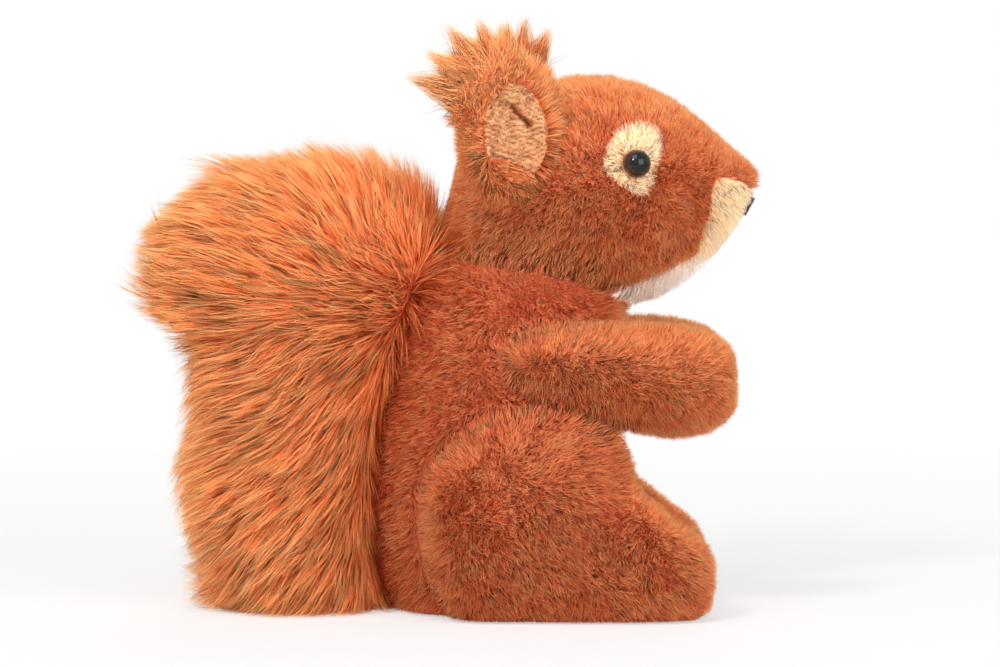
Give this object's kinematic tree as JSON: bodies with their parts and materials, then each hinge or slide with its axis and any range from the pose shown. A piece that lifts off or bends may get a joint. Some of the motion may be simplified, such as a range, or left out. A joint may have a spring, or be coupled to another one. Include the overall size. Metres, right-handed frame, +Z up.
{
  "type": "plush squirrel",
  "caption": "Sitting plush squirrel with a bushy tail curled up behind the back, tufted ears, forward arms and glossy domed eyes.",
  "frame": {"origin": "a point of the seat's flat sewn panel, on the ground under the torso", "axes": "+X from the tail to the nose, +Y to the toy's left side, +Z up"},
  "size_m": [0.2063, 0.1098, 0.1934],
  "materials": {
    "russet_plush": "short dense plush",
    "amber_plush": "plush with long locks",
    "long_pile_plush": "long combed pile",
    "fawn_curl": "curly lining",
    "cream_plush": "short plush",
    "white_plush": "short plush",
    "black_gloss": "polished dome",
    "brown_thread": "satin embroidery",
    "white_plastic": "moulded"
  },
  "bodies": {
    "root": {"torso": "russet_plush", "belly_panel": "white_plush", "seat_panel": "white_plush", "head": "russet_plush", "throat_panel": "white_plush", "muzzle": "cream_plush", "nose": "brown_thread", "right_eye_patch": "cream_plush", "left_eye_patch": "cream_plush", "right_eye": "black_gloss", "left_eye": "black_gloss", "right_eye_washer": "white_plastic", "left_eye_washer": "white_plastic", "right_ear": "amber_plush", "left_ear": "amber_plush", "right_ear_lining": "fawn_curl", "left_ear_lining": "fawn_curl", "right_arm": "russet_plush", "left_arm": "russet_plush", "right_leg": "russet_plush", "left_leg": "russet_plush", "tail": "long_pile_plush"}
  },
  "joints": []
}
